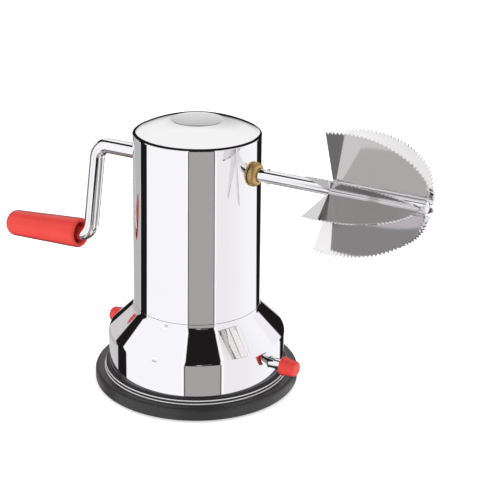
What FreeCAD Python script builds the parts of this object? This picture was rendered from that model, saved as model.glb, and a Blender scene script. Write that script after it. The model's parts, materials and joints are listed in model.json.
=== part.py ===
import FreeCAD, Part
import math, os
from FreeCAD import Vector as V

# Hand crank coconut grater on a vacuum base.
# Frame: origin at the centre of the footprint, +Z up, +X along the crank
# shaft towards the grating blades.  All sizes are millimetres.

# ---------------------------------------------------------------- dimensions
# base
PAD_R = 60.5            # rubber suction pad, radius
PAD_T = 2.5             # its thickness
PAD_BEAD_TOP = 3.0      # bead round its edge, up against the ring
RING_R = 65.0           # black base ring, outer radius
RING_BOTTOM = 1.0
RING_TOP = 9.2          # flat top of the outer part
COLLAR_R = 58.5         # raised collar round the skirt
COLLAR_TOP = 11.3
COLLAR_CREST = 12.5     # where the collar meets the skirt
RING_BORE = 46.0        # inner radius of the ring's flange
SKIRT_R = 55.9          # skirt wall, outer radius at its foot
SHEET = 0.8             # thickness of the drawn steel
SHOULDER_R = 56.1       # skirt wall at the shoulder
SHOULDER_Z = 34.3       # where wall and 45 degree cone would meet
SHOULDER_FILLET = 3.6
NECK_FILLET = 4.0       # hollow radius where the cone turns up to the barrel
SEAM_R = 39.9           # barrel outer radius at its lower edge
SEAM_Z = 53.4
BARREL_TOP_R = 39.13    # barrel outer radius under the rim
RIM_Z = 162.6
AXIS_Z = 143.5          # crank shaft axis

# crank shaft, bushes and bearing tube
TUBE_OD, TUBE_ID = 13.0, 11.5
BUSH_FLANGE_R = 7.5
BUSH_SEAT = 2.4         # face that the shaft's shoulder looks at
BUSH_FRONT = 4.05       # the flange bulges out this far
BUSH_LEN = 11.0
ROD_R = 4.8             # crank rod
JOURNAL_R = 4.0         # turned journal through the crank side bush
TIP_R = 3.0             # turned end through the blade side bush
RUN = 0.06              # radial running clearance
SHOULDER_X = -42.6      # rod steps down from ROD_R to JOURNAL_R
STEP_X = 27.7           # rod steps down from JOURNAL_R to TIP_R
TIP_END_X = 72.0
ARM_X = -73.5           # plane of the crank arm
THROW = 58.95           # shaft axis to grip axis, at the arm
BEND_R = 8.5            # centre line radius of the bends
CRANK_PHI = 259.0       # the arm's direction at rest, from +Y towards +Z
DROOP = 3.5             # the grip's axis opens away from the shaft
GRIP_S0 = 7.3           # grip's inner face, measured from the corner
GRIP_LEN = 58.4
GRIP_R_IN, GRIP_R_OUT = 9.75, 8.6
GRIP_RECESS_R = 6.7
ROD_END_S = 55.5        # end of the rod inside the grip
RING_S = 49.5           # retaining ring inside the grip

# blades and their spindle
SPINDLE_R = 3.9
SPINDLE_BORE_R = 3.04
SPINDLE_X0, SPINDLE_X1 = 41.95, 149.4
PIN_X = 49.4
PIN_R = 1.25
PIN_LEN = 9.2
# each folded pair: the direction of its fold, the semi-axis of the elliptical
# edge along the shaft, and for its two wings the direction and distance of the
# tooth tips from the shaft axis, the centre of the ellipse and the back edge
BLADES = {
    "blade_rear_upper": (77.0, 47.7, ((54.3, 39.45, 104.6, 89.6), (106.1, 40.2, 105.7, 90.7))),
    "blade_front_upper": (178.4, 47.3, ((152.75, 37.6, 100.0, 90.1), (188.25, 38.65, 100.5, 90.6))),
    "blade_front_lower": (263.2, 50.1, ((232.6, 39.1, 102.8, 91.4), (283.1, 38.45, 101.1, 90.0))),
    "blade_rear_lower": (352.0, 48.8, ((330.0, 38.4, 102.5, 90.0), (374.0, 38.4, 102.5, 90.0))),
}
FOLD_C = 5.33           # centre of the fold's bend, from the shaft axis
FOLD_R = 1.0            # mid radius of the bend
BACK_SLANT = 1.0        # the root of the back edge stands this much further out
BLADE_T = 0.8
TOOTH_DEPTH = 1.75
TEETH = 31

# vacuum lever
LEVER_Z = 25.0
LEVER_YAW = -4.0
LEVER_R = 2.75
LEVER_R2 = 3.4          # its thick part, outside the right bracket
LEVER_STEP_X = 33.3
LEVER_X0, LEVER_X1 = -67.2, 73.4
LEVER_HOLE_R = 3.75
KNOB_IN_R, KNOB_OUT_R = 6.1, 4.7
KNOB_LEN = 10.4
KNOB_RIGHT_X = 64.95
KNOB_LEFT_X = -58.5
ECC = 2.25              # the lift is twice this in half a turn
CAM_R = 6.0
CAM_T = 5.0
SLOT_HALF_W = 8.6
SLOT_HALF_H = 6.8
BRACKET_X = 31.0
PLATE_R = 54.6
PLATE_Z0, PLATE_Z1 = 9.2, 10.4
STUD_R = 4.0
HEAD_PLATE_R = 12.0
SCREW_PCR = 50.5

os.makedirs("parts", exist_ok=True)
NODES = {}


def node(name, shape):
    NODES[name] = shape


def cyl(r, h, p=(0, 0, 0), d=(0, 0, 1)):
    return Part.makeCylinder(r, h, V(*p), V(*d))


def box(x0, x1, y0, y1, z0, z1):
    return Part.makeBox(x1 - x0, y1 - y0, z1 - z0, V(x0, y0, z0))


def seg(a, b):
    return Part.makeLine(V(a[0], 0, a[1]), V(b[0], 0, b[1]))


def arc(a, m, b):
    return Part.Arc(V(a[0], 0, a[1]), V(m[0], 0, m[1]), V(b[0], 0, b[1])).toShape()


def revolve(edges):
    """Turn a closed profile, given in radius and height, about the Z axis."""
    face = Part.Face(Part.Wire(edges))
    solid = face.revolve(V(0, 0, 0), V(0, 0, 1), 360)
    if solid.ShapeType != "Solid":
        solid = Part.Solid(solid.Shells[0])
    if solid.Volume < 0:
        solid.reverse()
    return solid


def revolve_poly(pts):
    pts = list(pts)
    return revolve([seg(pts[i], pts[(i + 1) % len(pts)]) for i in range(len(pts))])


def rounded(pts, radii):
    """A closed profile whose corners are rounded; radii gives each corner's."""
    n = len(pts)
    cut = []
    for i, p in enumerate(pts):
        r = radii[i]
        a, b = pts[i - 1], pts[(i + 1) % n]
        u = (a[0] - p[0], a[1] - p[1])
        w = (b[0] - p[0], b[1] - p[1])
        lu, lw = math.hypot(*u), math.hypot(*w)
        u = (u[0] / lu, u[1] / lu)
        w = (w[0] / lw, w[1] / lw)
        if r <= 0:
            cut.append((p, None, p))
            continue
        half = math.acos(max(-1, min(1, u[0] * w[0] + u[1] * w[1]))) / 2
        t = r / math.tan(half)
        s = (p[0] + u[0] * t, p[1] + u[1] * t)
        e = (p[0] + w[0] * t, p[1] + w[1] * t)
        bis = (u[0] + w[0], u[1] + w[1])
        lb = math.hypot(*bis)
        c = (p[0] + bis[0] / lb * r / math.sin(half), p[1] + bis[1] / lb * r / math.sin(half))
        m = (c[0] - bis[0] / lb * r, c[1] - bis[1] / lb * r)
        cut.append((s, m, e))
    edges = []
    for i in range(n):
        s, m, e = cut[i]
        if m is not None:
            edges.append(arc(s, m, e))
        nxt = cut[(i + 1) % n][0]
        if math.hypot(nxt[0] - e[0], nxt[1] - e[1]) > 1e-6:
            edges.append(seg(e, nxt))
    return edges


def along_x(shape, x=0.0, z=0.0, y=0.0):
    """A shape made about the Z axis, laid along +X."""
    s = shape.copy()
    s.rotate(V(0, 0, 0), V(0, 1, 0), 90)
    s.translate(V(x, y, z))
    return s


def dome(r, corner, crown_r, top):
    """A domed end: a corner arc from the wall at radius r, then a spherical crown up to the axis at top."""
    zc = top - crown_r
    dz = math.sqrt((crown_r - corner) ** 2 - (r - corner) ** 2)
    k = crown_r / (crown_r - corner)
    join = ((r - corner) * k, zc + dz * k)
    a = math.atan2(dz, r - corner)
    b = math.atan2(join[0], join[1] - zc) / 2
    return [(r, zc + dz),
            arc((r, zc + dz), (r - corner + corner * math.cos(a / 2), zc + dz + corner * math.sin(a / 2)), join),
            arc(join, (crown_r * math.sin(b), zc + crown_r * math.cos(b)), (0, top))]


def cap_arc(r, h, z):
    """A shallow arc from (r, z) up to the axis at z + h, level there."""
    big = (r * r + h * h) / (2 * h)
    a = math.asin(r / big) / 2
    return arc((r, z), (big * math.sin(a), z + h - big + big * math.cos(a)), (0, z + h))


def spline(pts):
    c = Part.BSplineCurve()
    c.interpolate([V(p[0], 0, p[1]) for p in pts])
    return c


# ---------------------------------------------------------------- barrel
# One deep drawn cup, upside down: slightly drafted wall, a narrow bevelled
# rim, a crowned end with a shallow round dimple in the middle.
CREST_R = 16.0


def crown_slope(r):
    """Fall of the crown towards the rim; negative inside the dimple, which is steepest just inside its edge."""
    if r >= CREST_R + 0.6:
        return 0.16 + 0.01597 * (r - 16.2)
    if r <= CREST_R - 2.2:
        return -0.00665 * r
    if r < CREST_R - 0.8:
        f = (r - CREST_R + 2.2) / 1.4
        a, b = -0.0918, -0.21
    else:
        f = (r - CREST_R + 0.8) / 1.4
        a, b = -0.21, 0.1664
    f = f * f * (3 - 2 * f)
    return a * (1 - f) + b * f


def crown_points():
    """From the rim's inner edge up over the crest to the middle of the dimple."""
    want = [37.4, 36.0, 34.0, 31.0, 28.0, 25.0, 22.0, 19.5, 18.0, 17.2, 16.8, 16.5, 16.25, 16.0, 15.75, 15.5, 15.2,
            14.9, 14.5, 14.1, 13.7, 13.0, 11.5, 9.0, 6.0, 3.0, 0.0]
    out, r, z = [(want[0], 164.2)], want[0], 164.2
    for w in want[1:]:
        n = 40
        h = (r - w) / n
        for k in range(n):
            z += crown_slope(r - (k + 0.5) * h) * h
        r = w
        out.append((r, z))
    return out


def offset_points(pts, dist):
    """The same curve moved inwards; it ends on the axis."""
    out = []
    for i, p in enumerate(pts):
        s = crown_slope(p[0])
        ln = math.hypot(1, s)
        out.append((p[0] - s / ln * dist, p[1] - dist / ln))
    out[-1] = (0.0, out[-1][1])
    return out


crown_pts = crown_points()
crown = spline(crown_pts)
inner_pts = offset_points(crown_pts, SHEET)
inner_crown = spline(inner_pts)
CROWN_Z = crown_pts[-1][1]
RIM_A, RIM_B = (38.95, 163.05), (37.69, 164.03)     # the bevel's outer and inner edges
outer_edges = [seg((0, SEAM_Z), (SEAM_R, SEAM_Z)), seg((SEAM_R, SEAM_Z), (BARREL_TOP_R, RIM_Z)),
               arc((BARREL_TOP_R, RIM_Z), (39.085, 162.845), RIM_A),
               arc(RIM_A, ((RIM_A[0] + RIM_B[0]) / 2 + 0.022, (RIM_A[1] + RIM_B[1]) / 2 + 0.03), RIM_B),
               arc(RIM_B, (37.55, 164.118), crown_pts[0]), crown.toShape(),
               seg((0, CROWN_Z), (0, SEAM_Z))]
outer_solid = revolve(outer_edges)
ib = SEAM_R - SHEET
it = BARREL_TOP_R - SHEET
i0 = inner_pts[0]
inner_edges = [seg((0, SEAM_Z - 1), (ib, SEAM_Z - 1)), seg((ib, SEAM_Z - 1), (it, RIM_Z - 0.1)),
               seg((it, RIM_Z - 0.1), (37.26, 163.355)), seg((37.26, 163.355), i0), inner_crown.toShape(),
               seg((0, inner_pts[-1][1]), (0, SEAM_Z - 1))]
inner_solid = revolve(inner_edges)
barrel = outer_solid.cut(inner_solid)
bore = cyl(TUBE_OD / 2 + 0.03, 120, (-60, 0, AXIS_Z), (1, 0, 0))
barrel = barrel.cut(bore)
node("barrel", barrel)

# ---------------------------------------------------------------- skirt
# Cylindrical foot, soft shoulder, 45 degree cone, and a neck that goes up
# inside the barrel, where the two are spot welded.
neck_r = ib - 0.12
lip_r = SEAM_R + 0.15
cone = SHOULDER_R + SHOULDER_Z          # radius + height along the outer cone
cone_in = cone - SHEET * math.sqrt(2)
neck_in = neck_r - SHEET
wall_in = SHOULDER_R - SHEET
o = [(SKIRT_R - 0.05, 8.2), (SHOULDER_R, SHOULDER_Z), (lip_r, cone - lip_r), (lip_r, SEAM_Z - 0.3), (neck_r, SEAM_Z - 0.05),
     (neck_r, 63.0), (neck_in, 63.0), (neck_in, cone_in - neck_in),
     (wall_in, cone_in - wall_in), (SKIRT_R - 0.05 - SHEET, 8.2)]
skirt = revolve(rounded(o, [0, SHOULDER_FILLET, NECK_FILLET, 0.25, 0, 0, 0, NECK_FILLET + SHEET,
                            SHOULDER_FILLET - SHEET, 0]))
ca, sa = math.cos(math.radians(LEVER_YAW)), math.sin(math.radians(LEVER_YAW))
lever_hole = cyl(LEVER_HOLE_R, 160, (-80 * ca, -80 * sa, LEVER_Z), (ca, sa, 0))
skirt = skirt.cut(lever_hole)
node("flared_skirt", skirt)

# ---------------------------------------------------------------- base ring
ring_pts = [(62.0, RING_BOTTOM), (RING_R, RING_BOTTOM), (RING_R, RING_TOP), (COLLAR_R + 0.12, RING_TOP - 0.05),
            (COLLAR_R, COLLAR_TOP), (SKIRT_R + 0.75, COLLAR_CREST), (SKIRT_R + 0.1, COLLAR_CREST),
            (SKIRT_R + 0.1, 8.0), (SKIRT_R - SHEET - 0.15, 8.0), (SKIRT_R - SHEET - 0.15, RING_TOP),
            (RING_BORE, RING_TOP), (RING_BORE, PAD_BEAD_TOP), (61.5, PAD_BEAD_TOP)]
ring = revolve(rounded(ring_pts, [0.3, 1.2, 2.6, 0.35, 0.7, 0.5, 0.2, 0, 0, 0, 0.3, 0.3, 0]))
screw_at = []
for k in range(4):
    a = math.radians(45 + 90 * k)
    screw_at.append((SCREW_PCR * math.cos(a), SCREW_PCR * math.sin(a)))
for x, y in screw_at:
    ring = ring.cut(cyl(3.7, 2.5, (x, y, PAD_BEAD_TOP - 0.1)))
    ring = ring.cut(cyl(2.15, 12, (x, y, 2)))
node("base_ring", ring)

# ---------------------------------------------------------------- base plate
plate = cyl(PLATE_R, PLATE_Z1 - PLATE_Z0, (0, 0, PLATE_Z0))
plate = plate.cut(cyl(6.05, 5, (0, 0, 8)))
for x, y in screw_at:
    plate = plate.cut(cyl(2.0, 5, (x, y, 8)))
node("base_plate", plate)

screws = []
for x, y in screw_at:
    head = revolve(rounded([(0, 3.2), (3.4, 3.2), (3.4, 5.35), (0, 5.35)], [0, 0.9, 0, 0]))
    shank = cyl(1.96, 6.9, (0, 0, 5.3))
    s = head.fuse(shank)
    s = s.cut(box(-3.6, 3.6, -0.45, 0.45, 3.0, 4.2))
    s.rotate(V(0, 0, 0), V(0, 0, 1), 20 + 35 * len(screws))
    s.translate(V(x, y, 0))
    screws.append(s)
node("base_screws", Part.Compound(screws))

# ---------------------------------------------------------------- suction pad
pad = revolve(rounded([(0, 0.7), (20, 0.7), (50, 0.0), (PAD_R, 0.0), (PAD_R, PAD_BEAD_TOP), (57.2, PAD_BEAD_TOP),
                       (56.2, PAD_T), (0, PAD_T)], [0, 0, 0, 0.5, 0.5, 0.4, 0.4, 0]))
node("suction_pad", pad)

# ---------------------------------------------------------------- bearing tube and bushes
tube_half = 39.22
tube = cyl(TUBE_OD / 2, 2 * tube_half, (-tube_half, 0, AXIS_Z), (1, 0, 0))
tube = tube.cut(cyl(TUBE_ID / 2, 120, (-60, 0, AXIS_Z), (1, 0, 0)))
node("bearing_tube", tube)


def bush(bore_r, mouth_r):
    """Flanged bush about Z: body below zero, above it a full rounded flange with a wider mouth round the shaft."""
    tr, fr, bf = TUBE_ID / 2 - 0.03, BUSH_FLANGE_R, BUSH_FRONT
    lip = mouth_r + 0.35
    return revolve([seg((bore_r, -BUSH_LEN), (tr - 0.3, -BUSH_LEN)), seg((tr - 0.3, -BUSH_LEN), (tr, -BUSH_LEN + 0.3)),
                    seg((tr, -BUSH_LEN + 0.3), (tr, 0)), seg((tr, 0), (fr - 0.5, 0)),
                    arc((fr - 0.5, 0), (fr - 0.146, 0.146), (fr, 0.5)),
                    arc((fr, 0.5), (lip + (fr - lip) * 0.80, 0.5 + (bf - 0.5) * 0.64), (lip, bf)),
                    seg((lip, bf), (mouth_r, bf - 0.3)), seg((mouth_r, bf - 0.3), (mouth_r, BUSH_SEAT)),
                    seg((mouth_r, BUSH_SEAT), (bore_r, BUSH_SEAT)), seg((bore_r, BUSH_SEAT), (bore_r, -BUSH_LEN))])


FLANGE_X = 39.35
node("blade_side_bush", along_x(bush(TIP_R + RUN, 4.2), FLANGE_X, AXIS_Z))
cb = along_x(bush(JOURNAL_R + RUN, 5.1), FLANGE_X, 0)
cb.rotate(V(0, 0, 0), V(0, 0, 1), 180)
cb.translate(V(0, 0, AXIS_Z))
node("crank_side_bush", cb)

# ---------------------------------------------------------------- crank rod
# Drawn flat with the arm along +Y, then turned about the shaft axis.
gx, gy = -math.cos(math.radians(DROOP)), math.sin(math.radians(DROOP))
turn = 90.0 - DROOP
t2 = BEND_R * math.tan(math.radians(turn / 2))


def disc(r, p, d):
    return Part.Face(Part.Wire(Part.makeCircle(r, V(*p), V(*d))))


def crank_place(shape):
    s = shape.copy()
    s.rotate(V(0, 0, 0), V(1, 0, 0), CRANK_PHI)
    s.translate(V(0, 0, AXIS_Z))
    return s


rod = cyl(ROD_R, SHOULDER_X - (ARM_X + BEND_R), (ARM_X + BEND_R, 0, 0), (1, 0, 0))
rod = rod.fuse(disc(ROD_R, (ARM_X + BEND_R, 0, 0), (1, 0, 0)).revolve(V(ARM_X + BEND_R, BEND_R, 0), V(0, 0, 1), -90))
arm_y1 = THROW - t2
rod = rod.fuse(cyl(ROD_R, arm_y1 - BEND_R, (ARM_X, BEND_R, 0), (0, 1, 0)))
rod = rod.fuse(disc(ROD_R, (ARM_X, arm_y1, 0), (0, 1, 0)).revolve(V(ARM_X - BEND_R, arm_y1, 0), V(0, 0, 1), turn))
p2 = (ARM_X + gx * t2, THROW + gy * t2, 0)
grip_rod = cyl(ROD_R, ROD_END_S - t2, p2, (gx, gy, 0))
gp = (ARM_X + gx * RING_S, THROW + gy * RING_S, 0)
groove = cyl(ROD_R + 1, 1.3, gp, (gx, gy, 0)).cut(cyl(4.3, 1.3, gp, (gx, gy, 0)))
rod = rod.fuse(grip_rod.cut(groove))
rod = rod.fuse(cyl(JOURNAL_R, STEP_X - SHOULDER_X + 0.5, (SHOULDER_X - 0.5, 0, 0), (1, 0, 0)))
tip = revolve(rounded([(0, 0), (TIP_R, 0), (TIP_R, TIP_END_X - STEP_X + 0.5), (0, TIP_END_X - STEP_X + 0.5)], [0, 0, 0.6, 0]))
rod = rod.fuse(along_x(tip, STEP_X - 0.5, 0))
rod = rod.removeSplitter()
rod = crank_place(rod)
pin_dir = V(0, math.cos(math.radians(CRANK_PHI)), math.sin(math.radians(CRANK_PHI)))
pin_c = V(PIN_X, 0, AXIS_Z)
pin_hole = Part.makeCylinder(PIN_R, 20, pin_c - pin_dir * 10, pin_dir)
rod = rod.cut(pin_hole)
node("crank_rod", rod)

washer = cyl(5.2, 0.5, (STEP_X + 0.03, 0, AXIS_Z), (1, 0, 0)).cut(cyl(TIP_R + 0.05, 3, (STEP_X - 1, 0, AXIS_Z), (1, 0, 0)))
node("thrust_washer", washer)

# retaining ring near the rod's end, split on one side
rr = cyl(5.75, 1.1, (0, 0, 0)).cut(cyl(4.36, 1.1, (0, 0, 0))).cut(box(0, 8, -1.4, 1.4, -1, 3))
rr.rotate(V(0, 0, 0), V(0, 1, 0), -90)
rr.rotate(V(0, 0, 0), V(0, 0, 1), -DROOP)
rr.translate(V(gp[0] + gx * 0.1, gp[1] + gy * 0.1, 0))
node("grip_retaining_ring", crank_place(rr))

# ---------------------------------------------------------------- grip
# Tapered moulded handle with a domed end, a blind bore and a wide recess
# round the rod at its inner end.
L = GRIP_LEN
bore_r = ROD_R + 0.09
ring_s = RING_S - GRIP_S0
end_s = ROD_END_S - GRIP_S0
r_a = GRIP_R_OUT
end = dome(r_a, 6.0, 10.2, L)
lip = (GRIP_RECESS_R + GRIP_R_IN) / 2 + 0.15
prof = [seg((bore_r, 6.4), (GRIP_RECESS_R - 0.9, 4.6)),
        arc((GRIP_RECESS_R - 0.9, 4.6), (GRIP_RECESS_R + 0.05, 1.35), (lip, 0.0)),
        arc((lip, 0.0), (GRIP_R_IN - 0.42, 0.62), (GRIP_R_IN, 2.2)),
        seg((GRIP_R_IN, 2.2), end[0]),
        end[1], end[2],
        seg((0, L), (0, end_s + 0.8)),
        seg((0, end_s + 0.8), (6.2, end_s + 0.8)),
        seg((6.2, end_s + 0.8), (6.2, ring_s - 0.4)),
        seg((6.2, ring_s - 0.4), (bore_r, ring_s - 0.4)),
        seg((bore_r, ring_s - 0.4), (bore_r, 6.4))]
grip = revolve(prof)
grip.rotate(V(0, 0, 0), V(0, 1, 0), -90)
grip.rotate(V(0, 0, 0), V(0, 0, 1), -DROOP)
grip.translate(V(ARM_X + gx * GRIP_S0, THROW + gy * GRIP_S0, 0))
node("grip", crank_place(grip))

# ---------------------------------------------------------------- blade spindle
sp = cyl(SPINDLE_R, SPINDLE_X1 - SPINDLE_X0, (SPINDLE_X0, 0, AXIS_Z), (1, 0, 0))
sp = sp.cut(cyl(SPINDLE_BORE_R, 200, (0, 0, AXIS_Z), (1, 0, 0)))
sp = sp.cut(pin_hole)
node("blade_spindle", sp)
pin = revolve(rounded([(0, -PIN_LEN / 2), (PIN_R - 0.03, -PIN_LEN / 2), (PIN_R - 0.03, PIN_LEN / 2), (0, PIN_LEN / 2)],
                      [0, 0.35, 0.35, 0]))
pin.rotate(V(0, 0, 0), V(1, 0, 0), CRANK_PHI - 90)
pin.translate(pin_c)
node("spindle_pin", pin)
cap = revolve([seg((0, -6), (SPINDLE_BORE_R - 0.03, -6)), seg((SPINDLE_BORE_R - 0.03, -6), (SPINDLE_BORE_R - 0.03, 0)),
               seg((SPINDLE_BORE_R - 0.03, 0), (SPINDLE_R, 0)), seg((SPINDLE_R, 0), (SPINDLE_R, 0.4)),
               cap_arc(SPINDLE_R, 1.6, 0.4), seg((0, 2.0), (0, -6))])
node("spindle_end_cap", along_x(cap, SPINDLE_X1 + 0.02, AXIS_Z))


# ---------------------------------------------------------------- blades
# Four folded sheets.  Each has two half elliptical toothed wings about 45
# degrees apart; the bend between them lies along the spindle.
def edge_points(cx, sa_x, sa_r, x_back):
    """Toothed edge from the back corner to the tip, as (x, height over the root)."""
    t_start = math.acos((x_back - cx) / sa_x)
    t_end = 0.085
    n = 400
    pts = []
    for i in range(n + 1):
        t = t_start + (t_end - t_start) * i / n
        pts.append((cx + sa_x * math.cos(t), sa_r * math.sin(t), t))
    acc = [0.0]
    for i in range(n):
        acc.append(acc[-1] + math.hypot(pts[i + 1][0] - pts[i][0], pts[i + 1][1] - pts[i][1]))
    total = acc[-1]
    out = []
    m = 2 * TEETH
    j = 0
    for k in range(m + 1):
        s = total * k / m
        while j < n - 1 and acc[j + 1] < s:
            j += 1
        f = (s - acc[j]) / (acc[j + 1] - acc[j])
        x = pts[j][0] + (pts[j + 1][0] - pts[j][0]) * f
        r = pts[j][1] + (pts[j + 1][1] - pts[j][1]) * f
        t = pts[j][2] + (pts[j + 1][2] - pts[j][2]) * f
        nx, nr = math.cos(t) / sa_x, math.sin(t) / sa_r
        ln = math.hypot(nx, nr)
        if k % 2 == 1:
            out.append((x - nx / ln * TOOTH_DEPTH, r - nr / ln * TOOTH_DEPTH))
        else:
            out.append((x, r))
    return [p for p in out if p[1] > 0.6]


def wing_line(c, theta, reach, side):
    """A wing's mid line across the shaft: its start on the bend, its direction, its length and the way out of the fold."""
    t = (reach * math.cos(theta) - c[0], reach * math.sin(theta) - c[1])
    ln = math.hypot(*t)
    a = math.atan2(t[1], t[0]) - side * math.asin(FOLD_R / ln)
    e = (math.cos(a), math.sin(a))
    out = (-e[1] * side, e[0] * side)
    s = (c[0] + out[0] * FOLD_R, c[1] + out[1] * FOLD_R)
    return s, e, math.sqrt(ln * ln - FOLD_R * FOLD_R), out


def blade(fold, sa_x, wings):
    """A folded pair: two wings and the bend between them."""
    f = math.radians(fold)
    c = (FOLD_C * math.cos(f), FOLD_C * math.sin(f))
    parts, turn = [], []
    h = BLADE_T / 2
    x_root, x_end = 1000, -1000
    for side, (theta, reach, cx, x_back) in zip((-1, 1), wings):
        s, e, height, out = wing_line(c, math.radians(theta), reach, side)
        toe = edge_points(cx, sa_x, height, x_back)
        flat = [(x_back + BACK_SLANT, 0.0)] + toe + [(toe[-1][0], 0.0)]
        pts = [V(x, s[0] + e[0] * r - out[0] * h, s[1] + e[1] * r - out[1] * h) for x, r in flat]
        face = Part.Face(Part.makePolygon(pts + [pts[0]]))
        parts.append(face.extrude(V(0, out[0] * BLADE_T, out[1] * BLADE_T)))
        turn.append(math.atan2(out[1], out[0]))
        x_root = min(x_root, x_back + BACK_SLANT)
        x_end = max(x_end, toe[-1][0])
    x_end = min(x_end, SPINDLE_X1 - 0.2)
    a0, a1 = turn
    mid = f + math.pi
    while a0 > mid:
        a0 -= 2 * math.pi
    while a0 < mid - math.pi:
        a0 += 2 * math.pi
    while a1 < mid:
        a1 += 2 * math.pi
    while a1 > mid + math.pi:
        a1 -= 2 * math.pi

    def at(r, a):
        return V(x_root, c[0] + r * math.cos(a), c[1] + r * math.sin(a))
    ro, ri = FOLD_R + h, FOLD_R - h
    am = (a0 + a1) / 2
    bend = Part.Wire([Part.Arc(at(ro, a0), at(ro, am), at(ro, a1)).toShape(), Part.makeLine(at(ro, a1), at(ri, a1)),
                      Part.Arc(at(ri, a1), at(ri, am), at(ri, a0)).toShape(), Part.makeLine(at(ri, a0), at(ro, a0))])
    parts.append(Part.Face(bend).extrude(V(x_end - x_root, 0, 0)))
    solid = parts[0].fuse(parts[2]).fuse(parts[1]).removeSplitter()
    solid.translate(V(0, 0, AXIS_Z))
    return solid


for bname, spec in BLADES.items():
    node(bname, blade(*spec))


# ---------------------------------------------------------------- vacuum lever
def lever_place(shape):
    s = shape.copy()
    s.rotate(V(0, 0, 0), V(0, 0, 1), LEVER_YAW)
    s.translate(V(0, 0, LEVER_Z))
    return s


lever = cyl(LEVER_R, LEVER_X1 - LEVER_X0, (LEVER_X0, 0, 0), (1, 0, 0))
lever = lever.fuse(cyl(LEVER_R2, LEVER_X1 - LEVER_STEP_X, (LEVER_STEP_X, 0, 0), (1, 0, 0))).removeSplitter()
clip_x = [BRACKET_X + 0.8 + 0.12, -BRACKET_X - 0.8 - 0.12 - 0.9]
clips = []
for cx in clip_x:
    lever = lever.cut(cyl(5, 0.9, (cx, 0, 0), (1, 0, 0)).cut(cyl(2.15, 0.9, (cx, 0, 0), (1, 0, 0))))
    c = cyl(4.6, 0.78, (cx + 0.06, 0, 0), (1, 0, 0)).cut(cyl(2.2, 5, (cx - 2, 0, 0), (1, 0, 0)))
    c = c.cut(box(cx - 1, cx + 2, -1.5, 1.5, 0, 6))
    clips.append(lever_place(c))
node("lever_rod", lever_place(lever))
node("lever_clips", Part.Compound(clips))


def knob(rod_r):
    """About Z: inner end at zero, outer end at KNOB_LEN."""
    pts = [(rod_r + 0.01, 0), (KNOB_IN_R, 0), (KNOB_OUT_R, KNOB_LEN), (0, KNOB_LEN), (0, KNOB_LEN - 1.7),
           (rod_r + 0.01, KNOB_LEN - 1.7)]
    return revolve(rounded(pts, [0.3, 0.8, 1.7, 0, 0, 0]))


kr = along_x(knob(LEVER_R2), KNOB_RIGHT_X, 0)
node("lever_knob_right", lever_place(kr))
kl = along_x(knob(LEVER_R), -KNOB_LEFT_X, 0)
kl.rotate(V(0, 0, 0), V(0, 0, 1), 180)
node("lever_knob_left", lever_place(kl))

cam = cyl(CAM_R, CAM_T, (-CAM_T / 2, 0, -ECC), (1, 0, 0))
cam = cam.cut(cyl(LEVER_R + 0.02, 20, (-10, 0, 0), (1, 0, 0)))
cam = cam.cut(cyl(1.28, 12, (0, 0, -12)))
node("lift_cam", lever_place(cam))
grub = cyl(1.25, 5.0, (0, 0, -LEVER_R - 0.05 - 5.0))
grub = grub.cut(box(-0.25, 0.25, -2, 2, -9, -LEVER_R - 4.3))
node("cam_screw", lever_place(grub))

# ---------------------------------------------------------------- lever brackets
for name, side in (("lever_bracket_right", 1), ("lever_bracket_left", -1)):
    top = 8.0
    up = box(-0.8, 0.8, -7.5, 7.5, PLATE_Z1 - LEVER_Z, 0).fuse(cyl(7.5, 1.6, (-0.8, 0, 0), (1, 0, 0)))
    foot = box(-11.0, 0.8, -7.5, 7.5, PLATE_Z1 - LEVER_Z, PLATE_Z1 - LEVER_Z + 1.6)
    b = up.fuse(foot).removeSplitter()
    b = b.cut(cyl(LEVER_R + RUN, 6, (-3, 0, 0), (1, 0, 0)))
    if side < 0:
        b.rotate(V(0, 0, 0), V(0, 0, 1), 180)
    b.translate(V(side * BRACKET_X, 0, 0))
    node(name, lever_place(b))

# ---------------------------------------------------------------- lift yoke
# Stud with a slotted head; the cam turns in the slot and lifts it.
cz = -ECC
head = box(-2.2, 2.2, -SLOT_HALF_W - 2.6, SLOT_HALF_W + 2.6, cz - SLOT_HALF_H - 2.5, cz + SLOT_HALF_H + 2.5)
head = head.makeFillet(4.0, [e for e in head.Edges if abs(e.Vertexes[0].X - e.Vertexes[1].X) > 1])
slot = box(-5, 5, -SLOT_HALF_W, SLOT_HALF_W, cz - SLOT_HALF_H, cz + SLOT_HALF_H)
slot = slot.makeFillet(2.0, [e for e in slot.Edges if abs(e.Vertexes[0].X - e.Vertexes[1].X) > 1])
z_plate0, z_plate1 = PAD_T + 0.3 - LEVER_Z, PAD_T + 1.8 - LEVER_Z
z_head0 = cz - SLOT_HALF_H - 2.5
stud = cyl(STUD_R, z_head0 - z_plate1 + 1.2, (0, 0, z_plate1)).fuse(cyl(2.5, 2.0, (0, 0, z_plate0 + 0.05)))
yoke = head.fuse(stud).cut(slot)
yoke = yoke.removeSplitter()
node("lift_yoke", lever_place(yoke))
hp = revolve(rounded([(2.52, z_plate0), (HEAD_PLATE_R, z_plate0), (HEAD_PLATE_R, z_plate1), (2.52, z_plate1)],
                     [0, 0.5, 0.5, 0]))
node("pad_plate", lever_place(hp))

guide = revolve(rounded([(STUD_R + RUN, PLATE_Z0 - 0.1), (6.0, PLATE_Z0 - 0.1), (6.0, PLATE_Z1 + 0.02),
                         (8.0, PLATE_Z1 + 0.02), (8.0, PLATE_Z1 + 0.9), (STUD_R + RUN, PLATE_Z1 + 0.9)],
                        [0, 0, 0, 0, 0.3, 0.2]))
node("stud_guide_bush", guide)

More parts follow.
